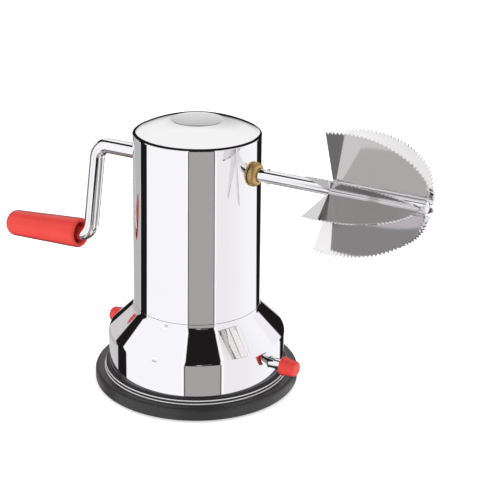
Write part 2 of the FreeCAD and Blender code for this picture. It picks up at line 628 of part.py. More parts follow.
# ---------------------------------------------------------------- write
for name, shape in NODES.items():
    ok = shape.isValid()
    print("%-22s %s solids %d  volume %.1f  %s" % (name, "ok " if ok else "BAD", len(shape.Solids), shape.Volume,
                                                     [round(v, 2) for v in (shape.BoundBox.XMin, shape.BoundBox.XMax,
                                                                            shape.BoundBox.YMin, shape.BoundBox.YMax,
                                                                            shape.BoundBox.ZMin, shape.BoundBox.ZMax)]))
    shape.exportStep("parts/%s.step" % name)
print(len(NODES), "nodes")
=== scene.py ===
import json
import math

import bpy
import bmesh
import numpy as np
from mathutils import Matrix, Vector


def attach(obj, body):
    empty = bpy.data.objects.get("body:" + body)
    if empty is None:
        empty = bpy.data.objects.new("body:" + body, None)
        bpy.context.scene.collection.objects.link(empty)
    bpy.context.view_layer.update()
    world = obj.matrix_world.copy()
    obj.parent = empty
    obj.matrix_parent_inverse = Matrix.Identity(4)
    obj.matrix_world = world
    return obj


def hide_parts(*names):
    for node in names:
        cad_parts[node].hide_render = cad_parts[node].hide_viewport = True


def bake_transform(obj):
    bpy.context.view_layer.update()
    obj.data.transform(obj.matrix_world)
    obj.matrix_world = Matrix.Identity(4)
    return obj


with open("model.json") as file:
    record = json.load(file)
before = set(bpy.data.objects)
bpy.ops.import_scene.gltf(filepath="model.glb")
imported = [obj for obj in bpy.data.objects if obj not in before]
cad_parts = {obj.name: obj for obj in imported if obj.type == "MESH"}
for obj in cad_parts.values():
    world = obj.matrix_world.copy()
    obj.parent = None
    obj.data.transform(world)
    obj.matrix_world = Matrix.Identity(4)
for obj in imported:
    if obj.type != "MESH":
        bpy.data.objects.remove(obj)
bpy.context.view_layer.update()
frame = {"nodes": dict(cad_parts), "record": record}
NODES = frame["nodes"]
S = 0.001

# ---------------------------------------------------------------- dimensions, mm
AXIS_Z = 143.5
SEAM_R, SEAM_Z = 39.9, 53.4
BARREL_TOP_R, RIM_Z = 39.13, 162.6
SHEET = 0.8
SKIRT_R, SHOULDER_R, SHOULDER_Z = 55.9, 56.1, 34.3
RING_R, RING_TOP, COLLAR_R, COLLAR_TOP, COLLAR_CREST = 65.0, 9.2, 58.5, 11.3, 12.5
ROD_R, JOURNAL_R, TIP_R = 4.8, 4.0, 3.0
SHOULDER_X, STEP_X, TIP_END_X = -42.6, 27.7, 72.0
ARM_X, THROW, BEND_R = -73.5, 58.95, 8.5
CRANK_PHI, DROOP = math.radians(259.0), math.radians(3.5)
GRIP_S0, GRIP_LEN = 7.3, 58.4
SPINDLE_R = 3.9
LEVER_Z, LEVER_YAW, LEVER_R, LEVER_R2 = 25.0, math.radians(-4.0), 2.75, 3.4

# ---------------------------------------------------------------- camera
CAM_AZ, CAM_EL, CAM_ROLL = math.radians(29.0), math.radians(21.72), math.radians(1.09)
CAM_D, CAM_TX, CAM_TZ, CAM_F = 814.97, 33.08, 6.64, 1300.0
fwd = Vector((-math.sin(CAM_AZ) * math.cos(CAM_EL), math.cos(CAM_AZ) * math.cos(CAM_EL), -math.sin(CAM_EL)))
right0 = Vector((math.cos(CAM_AZ), math.sin(CAM_AZ), 0))
up0 = right0.cross(fwd)
target = Vector((0, 0, 80)) + right0 * CAM_TX + up0 * CAM_TZ
eye = target - fwd * CAM_D
right = right0 * math.cos(CAM_ROLL) + up0 * math.sin(CAM_ROLL)
up = up0 * math.cos(CAM_ROLL) - right0 * math.sin(CAM_ROLL)
cam_data = bpy.data.cameras.new("camera")
cam_data.sensor_width = 36.0
cam_data.lens = CAM_F * 36.0 / 500.0
cam_data.clip_start, cam_data.clip_end = 0.01, 60.0
cam = bpy.data.objects.new("camera", cam_data)
bpy.context.scene.collection.objects.link(cam)
m = Matrix((right, up, -fwd)).transposed().to_4x4()
m.translation = eye * S
cam.matrix_world = m
bpy.context.scene.camera = cam


# ---------------------------------------------------------------- mesh helpers
def link(name, mesh):
    o = bpy.data.objects.new(name, mesh)
    bpy.context.scene.collection.objects.link(o)
    return o


class Profile:
    """An outline in (r, z) with a normal at every point; outward is to the right of travel."""

    def __init__(self):
        self.p, self.n = [], []

    def add(self, p, n):
        ln = math.hypot(*n)
        n = (n[0] / ln, n[1] / ln)
        if self.p and math.hypot(p[0] - self.p[-1][0], p[1] - self.p[-1][1]) < 1e-5:
            return
        self.p.append(p)
        self.n.append(n)


def corner(a, p, b, r):
    """Tangent points, centre and sweep of the arc of radius r in the corner a-p-b."""
    u = np.array(a, float) - p
    w = np.array(b, float) - p
    lu, lw = np.linalg.norm(u), np.linalg.norm(w)
    u, w = u / lu, w / lw
    half = math.acos(max(-1.0, min(1.0, float(u @ w)))) / 2
    t = r / math.tan(half)
    bis = (u + w) / np.linalg.norm(u + w)
    c = np.array(p, float) + bis * (r / math.sin(half))
    return np.array(p) + u * t, np.array(p) + w * t, c


def outline(pts, radii, step=6.0, closed=True, flip=False):
    """Polygon with rounded corners as dense points with exact normals.
    The polygon runs anticlockwise in (r, z) when closed, so outward is right of travel."""
    n = len(pts)
    out = Profile()
    pts = [np.array(p, float) for p in pts]
    for i in range(n):
        p, a, b = pts[i], pts[i - 1], pts[(i + 1) % n]
        end = not closed and i in (0, n - 1)
        if end or radii[i] <= 0:
            d = (b - p) if i < n - 1 or closed else (p - a)
            d0 = (p - a) if i > 0 or closed else d
            nn = np.array([d[1], -d[0]]) / np.linalg.norm(d) + np.array([d0[1], -d0[0]]) / np.linalg.norm(d0)
            if end:
                nn = np.array([d[1], -d[0]])
            out.add(tuple(p), tuple(nn))
            continue
        s, e, c = corner(a, p, b, radii[i])
        d0, d1 = (p - a) / np.linalg.norm(p - a), (b - p) / np.linalg.norm(b - p)
        turn = math.atan2(d0[0] * d1[1] - d0[1] * d1[0], float(d0 @ d1))
        k = max(2, int(math.ceil(abs(math.degrees(turn)) / step)))
        for j in range(k + 1):
            ang = turn * j / k
            ca, sa = math.cos(ang), math.sin(ang)
            v = s - c
            q = c + np.array([v[0] * ca - v[1] * sa, v[0] * sa + v[1] * ca])
            t = np.array([d0[0] * ca - d0[1] * sa, d0[0] * sa + d0[1] * ca])
            out.add(tuple(q), (t[1], -t[0]))
    if flip:
        out.p.reverse()
        out.n.reverse()
        out.n = [(-a, -b) for a, b in out.n]
    return out


def lathe(name, prof, segs=192, closed=True, place=None, jitter=None):
    """Turn a profile about Z into a smooth mesh with exact normals, then place it with a matrix (mm)."""
    P, Nn = prof.p, prof.n
    n = len(P)
    co, nor, faces, idx = [], [], [], []
    for (r, z), (nr, nz) in zip(P, Nn):
        if r < 1e-4:
            idx.append([len(co)] * segs)
            co.append((0, 0, z))
            nor.append((0, 0, 1 if nz > 0 else -1))
            continue
        row = []
        for k in range(segs):
            a = 2 * math.pi * k / segs
            ca, sa = math.cos(a), math.sin(a)
            row.append(len(co))
            co.append((r * ca, r * sa, z))
            nor.append((nr * ca, nr * sa, nz))
        idx.append(row)
    for i in range(n if closed else n - 1):
        A, B = idx[i], idx[(i + 1) % n]
        if A[0] == A[1] and B[0] == B[1]:
            continue
        for k in range(segs):
            k2 = (k + 1) % segs
            f = [A[k], A[k2], B[k2], B[k]]
            g = []
            for v in f:
                if v not in g:
                    g.append(v)
            faces.append(g)
    M = place if place is not None else Matrix.Identity(4)
    R = M.to_3x3()
    co = [tuple((M @ Vector(c)) * S) for c in co]
    nor = [tuple((R @ Vector(v)).normalized()) for v in nor]
    me = bpy.data.meshes.new(name)
    me.from_pydata(co, [], faces)
    me.polygons.foreach_set("use_smooth", [True] * len(me.polygons))
    me.normals_split_custom_set_from_vertices(nor)
    me.update()
    return link(name, me)


def tube(name, path, radii, segs=48, caps=True, tangents=None):
    """Sweep a circle along points (mm); radii per point.  Exact sideways normals."""
    pts = [Vector(p) for p in path]
    n = len(pts)
    if tangents is None:
        tangents = []
        for i in range(n):
            a, b = pts[max(0, i - 1)], pts[min(n - 1, i + 1)]
            tangents.append((b - a).normalized())
    ref = Vector((0, 0, 1)) if abs(tangents[0].z) < 0.9 else Vector((1, 0, 0))
    u = (ref - tangents[0] * ref.dot(tangents[0])).normalized()
    co, nor, faces = [], [], []
    for i in range(n):
        if i:
            q = tangents[i - 1].rotation_difference(tangents[i])
            u = (q @ u).normalized()
        t = tangents[i]
        v = t.cross(u)
        r = radii[i]
        slope = 0.0
        for k in range(segs):
            a = 2 * math.pi * k / segs
            d = u * math.cos(a) + v * math.sin(a)
            co.append(tuple((pts[i] + d * r) * S))
            nor.append(tuple(d))
    for i in range(n - 1):
        for k in range(segs):
            k2 = (k + 1) % segs
            faces.append([i * segs + k, i * segs + k2, (i + 1) * segs + k2, (i + 1) * segs + k])
    if caps:
        faces.append(list(range(segs))[::-1])
        faces.append([(n - 1) * segs + k for k in range(segs)])
    me = bpy.data.meshes.new(name)
    me.from_pydata(co, [], faces)
    me.polygons.foreach_set("use_smooth", [len(p.vertices) == 4 for p in me.polygons])
    me.update()
    return link(name, me), nor


def deep(name, node, body, mat, obj):
    obj.name = name
    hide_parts(node)
    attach(obj, body)
    obj.data.materials.clear()
    obj.data.materials.append(mat)
    return obj


# ---------------------------------------------------------------- materials
def new_mat(name):
    mat = bpy.data.materials.new(name)
    mat.use_nodes = True
    nt = mat.node_tree
    nt.nodes.clear()
    out = nt.nodes.new("ShaderNodeOutputMaterial")
    bsdf = nt.nodes.new("ShaderNodeBsdfPrincipled")
    nt.links.new(bsdf.outputs[0], out.inputs[0])
    return mat, nt, bsdf


def obj_coords(nt, scale=(1, 1, 1)):
    tc = nt.nodes.new("ShaderNodeTexCoord")
    mp = nt.nodes.new("ShaderNodeMapping")
    mp.inputs["Scale"].default_value = scale
    nt.links.new(tc.outputs["Object"], mp.inputs["Vector"])
    return mp.outputs["Vector"]


def noise(nt, vec, scale, detail=3.0, rough=0.5, dist=0.0):
    n = nt.nodes.new("ShaderNodeTexNoise")
    n.inputs["Scale"].default_value = scale
    n.inputs["Detail"].default_value = detail
    n.inputs["Roughness"].default_value = rough
    n.inputs["Distortion"].default_value = dist
    nt.links.new(vec, n.inputs["Vector"])
    return n.outputs["Fac"]


def ramp(nt, fac, stops):
    r = nt.nodes.new("ShaderNodeMapRange")
    r.inputs["From Min"].default_value = stops[0]
    r.inputs["From Max"].default_value = stops[1]
    r.inputs["To Min"].default_value = stops[2]
    r.inputs["To Max"].default_value = stops[3]
    nt.links.new(fac, r.inputs["Value"])
    return r.outputs["Result"]


def mix_col(nt, fac, a, b):
    n = nt.nodes.new("ShaderNodeMix")
    n.data_type = "RGBA"
    nt.links.new(fac, n.inputs[0])
    n.inputs[6].default_value = (*a, 1)
    n.inputs[7].default_value = (*b, 1)
    return n.outputs[2]


def bump(nt, height, strength, dist, bsdf, prev=None):
    b = nt.nodes.new("ShaderNodeBump")
    b.inputs["Strength"].default_value = strength
    b.inputs["Distance"].default_value = dist
    nt.links.new(height, b.inputs["Height"])
    if prev is not None:
        nt.links.new(prev, b.inputs["Normal"])
    nt.links.new(b.outputs[0], bsdf.inputs["Normal"])
    return b.outputs[0]


def steel(name, base, lo, hi, grain=(1, 1, 1), grain_scale=900.0, grain_strength=0.02, smudge=18.0):
    mat, nt, b = new_mat(name)
    b.inputs["Metallic"].default_value = 1.0
    vec = obj_coords(nt)
    smear = noise(nt, vec, smudge, 4.0, 0.55)
    fine = noise(nt, obj_coords(nt, grain), grain_scale, 2.0, 0.6)
    nt.links.new(mix_col(nt, smear, tuple(c * 0.985 for c in base), base), b.inputs["Base Color"])
    nt.links.new(ramp(nt, smear, (0.3, 0.75, lo, hi)), b.inputs["Roughness"])
    bump(nt, fine, grain_strength, 0.0002, b)
    return mat


def plastic(name, a, b_, rough, grain, strength, spec=0.5, coat=0.0):
    mat, nt, b = new_mat(name)
    vec = obj_coords(nt)
    patch = noise(nt, vec, 35.0, 3.0)
    nt.links.new(mix_col(nt, patch, a, b_), b.inputs["Base Color"])
    nt.links.new(ramp(nt, noise(nt, vec, 120.0, 3.0), (0.3, 0.7, rough * 0.88, rough * 1.12)), b.inputs["Roughness"])
    b.inputs["Specular IOR Level"].default_value = spec
    if coat:
        b.inputs["Coat Weight"].default_value = coat
        b.inputs["Coat Roughness"].default_value = 0.25
    v = nt.nodes.new("ShaderNodeTexVoronoi")
    v.inputs["Scale"].default_value = grain
    nt.links.new(vec, v.inputs["Vector"])
    bump(nt, v.outputs["Distance"], strength, 0.0003, b)
    return mat


M_POLISHED = steel("polished_steel", (0.93, 0.93, 0.935), 0.02, 0.035, (1, 1, 0.02), 1500.0, 0.008)
M_ROD = steel("plated_rod", (0.92, 0.92, 0.92), 0.04, 0.07, (1, 1, 1), 900.0, 0.01, 60.0)
M_BLADE = steel("blade_steel", (0.775, 0.765, 0.765), 0.05, 0.085, (0.03, 1, 1), 2600.0, 0.03, 40.0)
M_SPINDLE = steel("spindle_steel", (0.9, 0.9, 0.905), 0.04, 0.07, (1, 1, 1), 900.0, 0.01, 60.0)
M_PLAIN = steel("plain_steel", (0.62, 0.63, 0.65), 0.25, 0.4, (1, 1, 1), 700.0, 0.1, 30.0)
M_BRASS = steel("brass", (0.70, 0.47, 0.19), 0.45, 0.52, (1, 1, 1), 900.0, 0.02, 60.0)
M_RED = plastic("red_plastic", (0.80, 0.040, 0.030), (0.86, 0.055, 0.040), 0.38, 1400.0, 0.05, 0.45)
M_BLACK = plastic("black_plastic", (0.022, 0.021, 0.022), (0.030, 0.029, 0.030), 0.36, 1600.0, 0.06, 0.5)
M_RUBBER = plastic("black_rubber", (0.018, 0.018, 0.018), (0.028, 0.027, 0.026), 0.62, 900.0, 0.12, 0.35)
M_NYLON = plastic("white_nylon", (0.78, 0.76, 0.70), (0.84, 0.82, 0.77), 0.45, 900.0, 0.05)

# painted shade: the red mouldings' base colour is mixed towards a dark red where their surface turns away from the
# view, by Layer Weight facing
for mat in (M_RED,):
    nt = mat.node_tree
    b = next(n for n in nt.nodes if n.type == "BSDF_PRINCIPLED")
    lw = nt.nodes.new("ShaderNodeLayerWeight")
    lw.inputs["Blend"].default_value = 0.5
    mx = nt.nodes.new("ShaderNodeMix")
    mx.data_type = "RGBA"
    nt.links.new(ramp(nt, lw.outputs["Facing"], (0.52, 0.80, 0.0, 0.85)), mx.inputs[0])
    nt.links.new(b.inputs["Base Color"].links[0].from_socket, mx.inputs[6])
    # the dark red painted into the base colour as shade at the turned-away edges
    mx.inputs[7].default_value = (0.22, 0.012, 0.010, 1)
    nt.links.new(mx.outputs[2], b.inputs["Base Color"])


def painted_edge_highlights(mat, lines, rgb):
    """Painted highlights: bright lines in the base colour round the Z axis, in place of the gloss on edges: (radius,
    height, half width) in metres.
    """
    nt = mat.node_tree
    b = next(n for n in nt.nodes if n.type == "BSDF_PRINCIPLED")

    def mth(op, x, y=None):
        n = nt.nodes.new("ShaderNodeMath")
        n.operation = op
        for i, v in enumerate((x, y)):
            if isinstance(v, (int, float)):
                n.inputs[i].default_value = v
            elif v is not None:
                nt.links.new(v, n.inputs[i])
        return n.outputs[0]
    sep = nt.nodes.new("ShaderNodeSeparateXYZ")
    nt.links.new(obj_coords(nt), sep.inputs[0])
    x, y, z = sep.outputs
    r = mth("SQRT", mth("ADD", mth("MULTIPLY", x, x), mth("MULTIPLY", y, y)))
    total = None
    for r0_, z0, w in lines:
        dr, dz = mth("SUBTRACT", r, r0_), mth("SUBTRACT", z, z0)
        d = mth("SQRT", mth("ADD", mth("MULTIPLY", dr, dr), mth("MULTIPLY", dz, dz)))
        m_ = ramp(nt, d, (w * 0.7, w * 1.3, 1.0, 0.0))
        total = m_ if total is None else mth("MAXIMUM", total, m_)
    mx = nt.nodes.new("ShaderNodeMix")
    mx.data_type = "RGBA"
    nt.links.new(total, mx.inputs[0])
    nt.links.new(b.inputs["Base Color"].links[0].from_socket, mx.inputs[6])
    mx.inputs[7].default_value = (*rgb, 1)
    nt.links.new(mx.outputs[2], b.inputs["Base Color"])


# painted highlight: two bright lines in the black plastic's base colour, on the base ring collar's upper edge and on
# its foot
painted_edge_highlights(M_BLACK, ((0.05846, 0.01127, 0.00034), (0.05875, 0.00925, 0.00038)), (0.80, 0.80, 0.81))
SLOT_MAT = {"polished_steel": M_POLISHED, "plated_rod": M_ROD, "blade_steel": M_BLADE, "spindle_steel": M_SPINDLE,
            "plain_steel": M_PLAIN, "brass": M_BRASS, "red_plastic": M_RED, "black_plastic": M_BLACK,
            "black_rubber": M_RUBBER, "white_nylon": M_NYLON}
for row in frame["record"]["subparts"]:
    o = NODES[row["node"]]
    o.data.materials.clear()
    o.data.materials.append(SLOT_MAT[row["material_slot"]])


# ---------------------------------------------------------------- barrel
def crown_slope(r):
    """Fall of the crown towards the rim; negative inside the dimple."""
    if r >= 16.6:
        return 0.16 + 0.01597 * (r - 16.2)
    if r <= 13.8:
        return -0.00665 * r
    a, b, r0, r1 = (-0.0918, -0.21, 13.8, 15.2) if r < 15.2 else (-0.21, 0.1664, 15.2, 16.6)
    f = (r - r0) / (r1 - r0)
    f = f * f * (3 - 2 * f)
    return a * (1 - f) + b * f


def barrel_profile():
    prof = Profile()
    base = outline([(SEAM_R - SHEET, SEAM_Z), (SEAM_R, SEAM_Z), (BARREL_TOP_R, RIM_Z)], [0, 0.1, 0], closed=False)
    for p, n in zip(base.p[1:-1], base.n[1:-1]):
        prof.add(p, n)
    wall_e = math.atan2(SEAM_R - BARREL_TOP_R, RIM_Z - SEAM_Z)
    for z in (70.0, 90.0, 110.0, 130.0, 140.0, 147.0, 152.0, 156.0, 159.0, 161.0, 162.0, RIM_Z):
        prof.add((BARREL_TOP_R + (SEAM_R - BARREL_TOP_R) * (RIM_Z - z) / (RIM_Z - SEAM_Z), z), (math.cos(wall_e), math.sin(wall_e)))
    first = len(prof.p) - 1
    # rim: a small round, the bevel, a softer round into the crown
    e, (r, z) = wall_e, prof.p[-1]
    for length, e1, k in ((0.49, math.radians(47.0), 10), (1.6, math.radians(57.5), 8), (0.34, math.radians(63.5), 5)):
        e0 = e
        for i in range(k):
            em = e0 + (e1 - e0) * (i + 0.5) / k
            r, z = r - math.sin(em) * length / k, z + math.cos(em) * length / k
            e = e0 + (e1 - e0) * (i + 1) / k
            prof.add((r, z), (math.cos(e), math.sin(e)))
    stops = [r - 1.3 * i for i in range(1, 16)] + [17.2, 16.8] + [16.6 - 0.1 * i for i in range(29)] + [13.5, 12.0, 10.0, 8.0, 6.0, 4.0, 2.0, 0.0]
    for want in stops:
        h = (r - want) / 8
        if h <= 0:
            continue
        for k in range(8):
            z += crown_slope(r - (k + 0.5) * h) * h
        r = want
        sl = crown_slope(r)
        prof.add((r, z), (sl, 1.0))
    prof.p[-1], prof.n[-1] = (0.0, prof.p[-1][1]), (0, 1)
    # inside, back down: the same curve one sheet further in
    back = []
    for (r, z), (nr, nz) in list(zip(prof.p, prof.n))[first:][::-1][::3]:
        back.append(((max(0.0, r - nr * SHEET), z - nz * SHEET), (-nr, -nz)))
    back[0] = ((0.0, back[0][0][1]), (0, -1))
    back = [q for q in back if q[0][0] < BARREL_TOP_R - SHEET - 0.02]
    for p, n in back:
        prof.add(p, n)
    prof.add((BARREL_TOP_R - SHEET, RIM_Z - 0.1), (-1, 0))
    prof.add((SEAM_R - SHEET, SEAM_Z + 0.15), (-1, 0))
    prof.add((SEAM_R - SHEET + 0.1, SEAM_Z), (0, -1))
    return prof


barrel = deep("barrel_shell", "barrel", "root", M_POLISHED, lathe("barrel_shell", barrel_profile(), 256))


# ---------------------------------------------------------------- skirt
def skirt_profile():
    neck_r = SEAM_R - SHEET - 0.12
    lip_r = SEAM_R + 0.15
    cone = SHOULDER_R + SHOULDER_Z
    cone_in = cone - SHEET * math.sqrt(2)
    neck_in, wall_in = neck_r - SHEET, SHOULDER_R - SHEET
    pts = [(SKIRT_R - 0.05, 8.2), (SHOULDER_R, SHOULDER_Z), (lip_r, cone - lip_r), (lip_r, SEAM_Z - 0.12), (neck_r, SEAM_Z - 0.05),
           (neck_r, 63.0), (neck_in, 63.0), (neck_in, cone_in - neck_in),
           (wall_in, cone_in - wall_in), (SKIRT_R - 0.05 - SHEET, 8.2)]
    prof = outline(pts, [0.1, 3.6, 4.0, 0.1, 0.05, 0.2, 0.2, 4.8, 2.8, 0.1], step=3.0)
    # rows up the foot's wall and the cone, so that what is cut there stays local
    out = Profile()
    n = len(prof.p)
    for i in range(n):
        a, b = prof.p[i], prof.p[(i + 1) % n]
        out.add(a, prof.n[i])
        ln = math.hypot(b[0] - a[0], b[1] - a[1])
        k = int(ln / 2.2)
        same = prof.n[i][0] * prof.n[(i + 1) % n][0] + prof.n[i][1] * prof.n[(i + 1) % n][1] > 0.999
        for q in range(1, k if same else 0):
            f = q / k
            out.add((a[0] + (b[0] - a[0]) * f, a[1] + (b[1] - a[1]) * f),
                    (prof.n[i][0] * (1 - f) + prof.n[(i + 1) % n][0] * f, prof.n[i][1] * (1 - f) + prof.n[(i + 1) % n][1] * f))
    return out


skirt = lathe("skirt_shell", skirt_profile(), 256)


def cut_round(obj, radius, a, b, segs=64):
    """Cut a round hole through obj along the line a-b (mm)."""
    a, b = Vector(a) * S, Vector(b) * S
    bm = bmesh.new()
    bmesh.ops.create_cone(bm, cap_ends=True, segments=segs, radius1=radius * S, radius2=radius * S, depth=(b - a).length)
    cm = bpy.data.meshes.new("cutter")
    bm.to_mesh(cm)
    bm.free()
    c = bpy.data.objects.new("cutter", cm)
    bpy.context.scene.collection.objects.link(c)
    c.matrix_world = Matrix.Translation((a + b) / 2) @ (b - a).to_track_quat("Z", "Y").to_matrix().to_4x4()
    mod = obj.modifiers.new("cut", "BOOLEAN")
    mod.operation, mod.solver, mod.object = "DIFFERENCE", "EXACT", c
    dg = bpy.context.evaluated_depsgraph_get()
    new = bpy.data.meshes.new_from_object(obj.evaluated_get(dg))
    obj.modifiers.remove(mod)
    obj.data = new
    bpy.data.objects.remove(c)
    bpy.data.meshes.remove(cm)
    return obj


def turned_normals(obj, prof, holes):
    """Exact normals for a turned shell with round holes: each corner takes the profile's normal at its place.
    holes: (radius, point, direction) in mm."""
    me = obj.data
    P, N = np.array(prof.p), np.array(prof.n)
    Q, NQ = np.roll(P, -1, axis=0), np.roll(N, -1, axis=0)
    D = Q - P
    L2 = np.maximum((D * D).sum(1), 1e-12)
    out_n = np.stack([D[:, 1], -D[:, 0]], 1) / np.sqrt(L2)[:, None]
    normals = []
    me.polygons.foreach_set("use_smooth", [True] * len(me.polygons))
    for poly in me.polygons:
        pn, pc = poly.normal, poly.center
        bore = None
        for radius, a, d in holes:
            off = (pc / S - a) - d * (pc / S - a).dot(d)
            if off.length < radius + 0.1 and (pc / S).dot(d) > 0 and abs(pn.dot(d)) < 0.3:
                bore = (a, d)
        hr = Vector((pc.x, pc.y, 0)).normalized()
        fn = np.array([pn.dot(hr), pn.z])
        for li in poly.loop_indices:
            v = me.vertices[me.loops[li].vertex_index].co / S
            if bore is not None:
                a, d = bore
                normals.append(tuple((-((v - a) - d * (v - a).dot(d))).normalized()))
                continue
            q = np.array([math.hypot(v.x, v.y), v.z])
            t = np.clip(((q - P) * D).sum(1) / L2, 0, 1)
            near = P + D * t[:, None]
            dist = np.hypot(*(q - near).T) + np.where(out_n @ fn > 0.5, 0.0, 5.0)
            k = int(dist.argmin())
            nn = N[k] * (1 - t[k]) + NQ[k] * t[k]
            h = Vector((v.x, v.y, 0)).normalized()
            normals.append(tuple((h * nn[0] + Vector((0, 0, nn[1]))).normalized()))
    me.normals_split_custom_set(normals)
    me.update()


ca, sa = math.cos(LEVER_YAW), math.sin(LEVER_YAW)
HOLE_R = 3.75
cut_round(skirt, HOLE_R, (20 * ca, 20 * sa, LEVER_Z), (80 * ca, 80 * sa, LEVER_Z))
cut_round(skirt, HOLE_R, (-80 * ca, -80 * sa, LEVER_Z), (-20 * ca, -20 * sa, LEVER_Z))
turned_normals(skirt, skirt_profile(), [(HOLE_R, Vector((0, 0, LEVER_Z)), Vector((ca, sa, 0))), (HOLE_R, Vector((0, 0, LEVER_Z)), Vector((-ca, -sa, 0)))])
deep("skirt_shell", "flared_skirt", "root", M_POLISHED, skirt)


# ---------------------------------------------------------------- base ring
def ring_profile():
    pts = [(62.0, 1.0), (RING_R, 1.0), (RING_R, RING_TOP), (COLLAR_R + 0.12, RING_TOP - 0.05),
           (COLLAR_R, COLLAR_TOP), (SKIRT_R + 0.75, COLLAR_CREST), (SKIRT_R + 0.1, COLLAR_CREST),
           (SKIRT_R + 0.1, 8.0), (SKIRT_R - SHEET - 0.15, 8.0), (SKIRT_R - SHEET - 0.15, RING_TOP),
           (46.0, RING_TOP), (46.0, 3.0), (61.5, 3.0)]
    return outline(pts, [0.3, 1.2, 2.6, 0.35, 0.7, 0.5, 0.2, 0.05, 0.05, 0.1, 0.3, 0.3, 0.1], step=6.0)


deep("base_ring_shell", "base_ring", "root", M_BLACK, lathe("base_ring_shell", ring_profile(), 256))


# ---------------------------------------------------------------- crank
def crank_frame():
    """Matrix from the crank's flat drawing (arm along +Y) to the row frame, mm."""
    return Matrix.Translation((0, 0, AXIS_Z)) @ Matrix.Rotation(CRANK_PHI, 4, "X")


def grip_frame():
    """Matrix that lays a lathe axis (+Z outward) along the grip's axis, origin at the arm corner."""
    g = Vector((-math.cos(DROOP), math.sin(DROOP), 0))
    z = g
    x = Vector((0, 0, 1))
    y = z.cross(x)
    m_ = Matrix((x, y, z)).transposed().to_4x4()
    m_.translation = Vector((ARM_X, THROW, 0))
    return crank_frame() @ m_


def rod_path():
    g = (-math.cos(DROOP), math.sin(DROOP))
    turn = math.radians(90) - DROOP
    t2 = BEND_R * math.tan(turn / 2)
    pts, rad, tan = [], [], []

    def put(x, y, r, t):
        pts.append((x, y, 0))
        rad.append(r)
        tan.append(Vector((t[0], t[1], 0)).normalized())

    def step(x, r0, r1, c=0.25):
        s = 1 if r1 > r0 else -1
        put(x, 0, r0, (-1, 0))
        put(x - 0.02, 0, r1 - c * s * 0.7, (-1, 0))
        put(x - 0.02 - c, 0, r1, (-1, 0))

    put(TIP_END_X, 0, 0.3, (-1, 0))
    put(TIP_END_X - 0.05, 0, TIP_R - 0.6, (-1, 0))
    put(TIP_END_X - 0.6, 0, TIP_R, (-1, 0))
    step(STEP_X, TIP_R, JOURNAL_R)
    step(SHOULDER_X, JOURNAL_R, ROD_R, 0.5)
    x0 = ARM_X + BEND_R
    put(x0 + 1.5, 0, ROD_R, (-1, 0))
    k = 28
    for i in range(k + 1):
        a = math.radians(90) * i / k
        put(x0 - BEND_R * math.sin(a), BEND_R - BEND_R * math.cos(a), ROD_R, (-math.cos(a), math.sin(a)))
    y1 = THROW - t2
    put(ARM_X, BEND_R + 1.5, ROD_R, (0, 1))
    put(ARM_X, y1 - 1.5, ROD_R, (0, 1))
    for i in range(k + 1):
        a = turn * i / k
        put(ARM_X - BEND_R + BEND_R * math.cos(a), y1 + BEND_R * math.sin(a), ROD_R, (-math.sin(a), math.cos(a)))
    for s, r in ((t2 + 1.5, ROD_R), (49.45, ROD_R), (49.5, 4.3), (50.8, 4.3), (50.85, ROD_R), (54.9, ROD_R), (55.45, ROD_R - 0.6), (55.5, 0.3)):
        put(ARM_X + g[0] * s, THROW + g[1] * s, r, g)
    return pts, rad, tan


pts, rad, tan = rod_path()
M = crank_frame()
wpts = [M @ Vector(p) for p in pts]
wtan = [M.to_3x3() @ t for t in tan]
rod, rod_n = tube("crank_rod_bent", wpts, rad, 64, True, wtan)
rod.data.normals_split_custom_set_from_vertices(rod_n)
deep("crank_rod_bent", "crank_rod", "crank", M_ROD, rod)


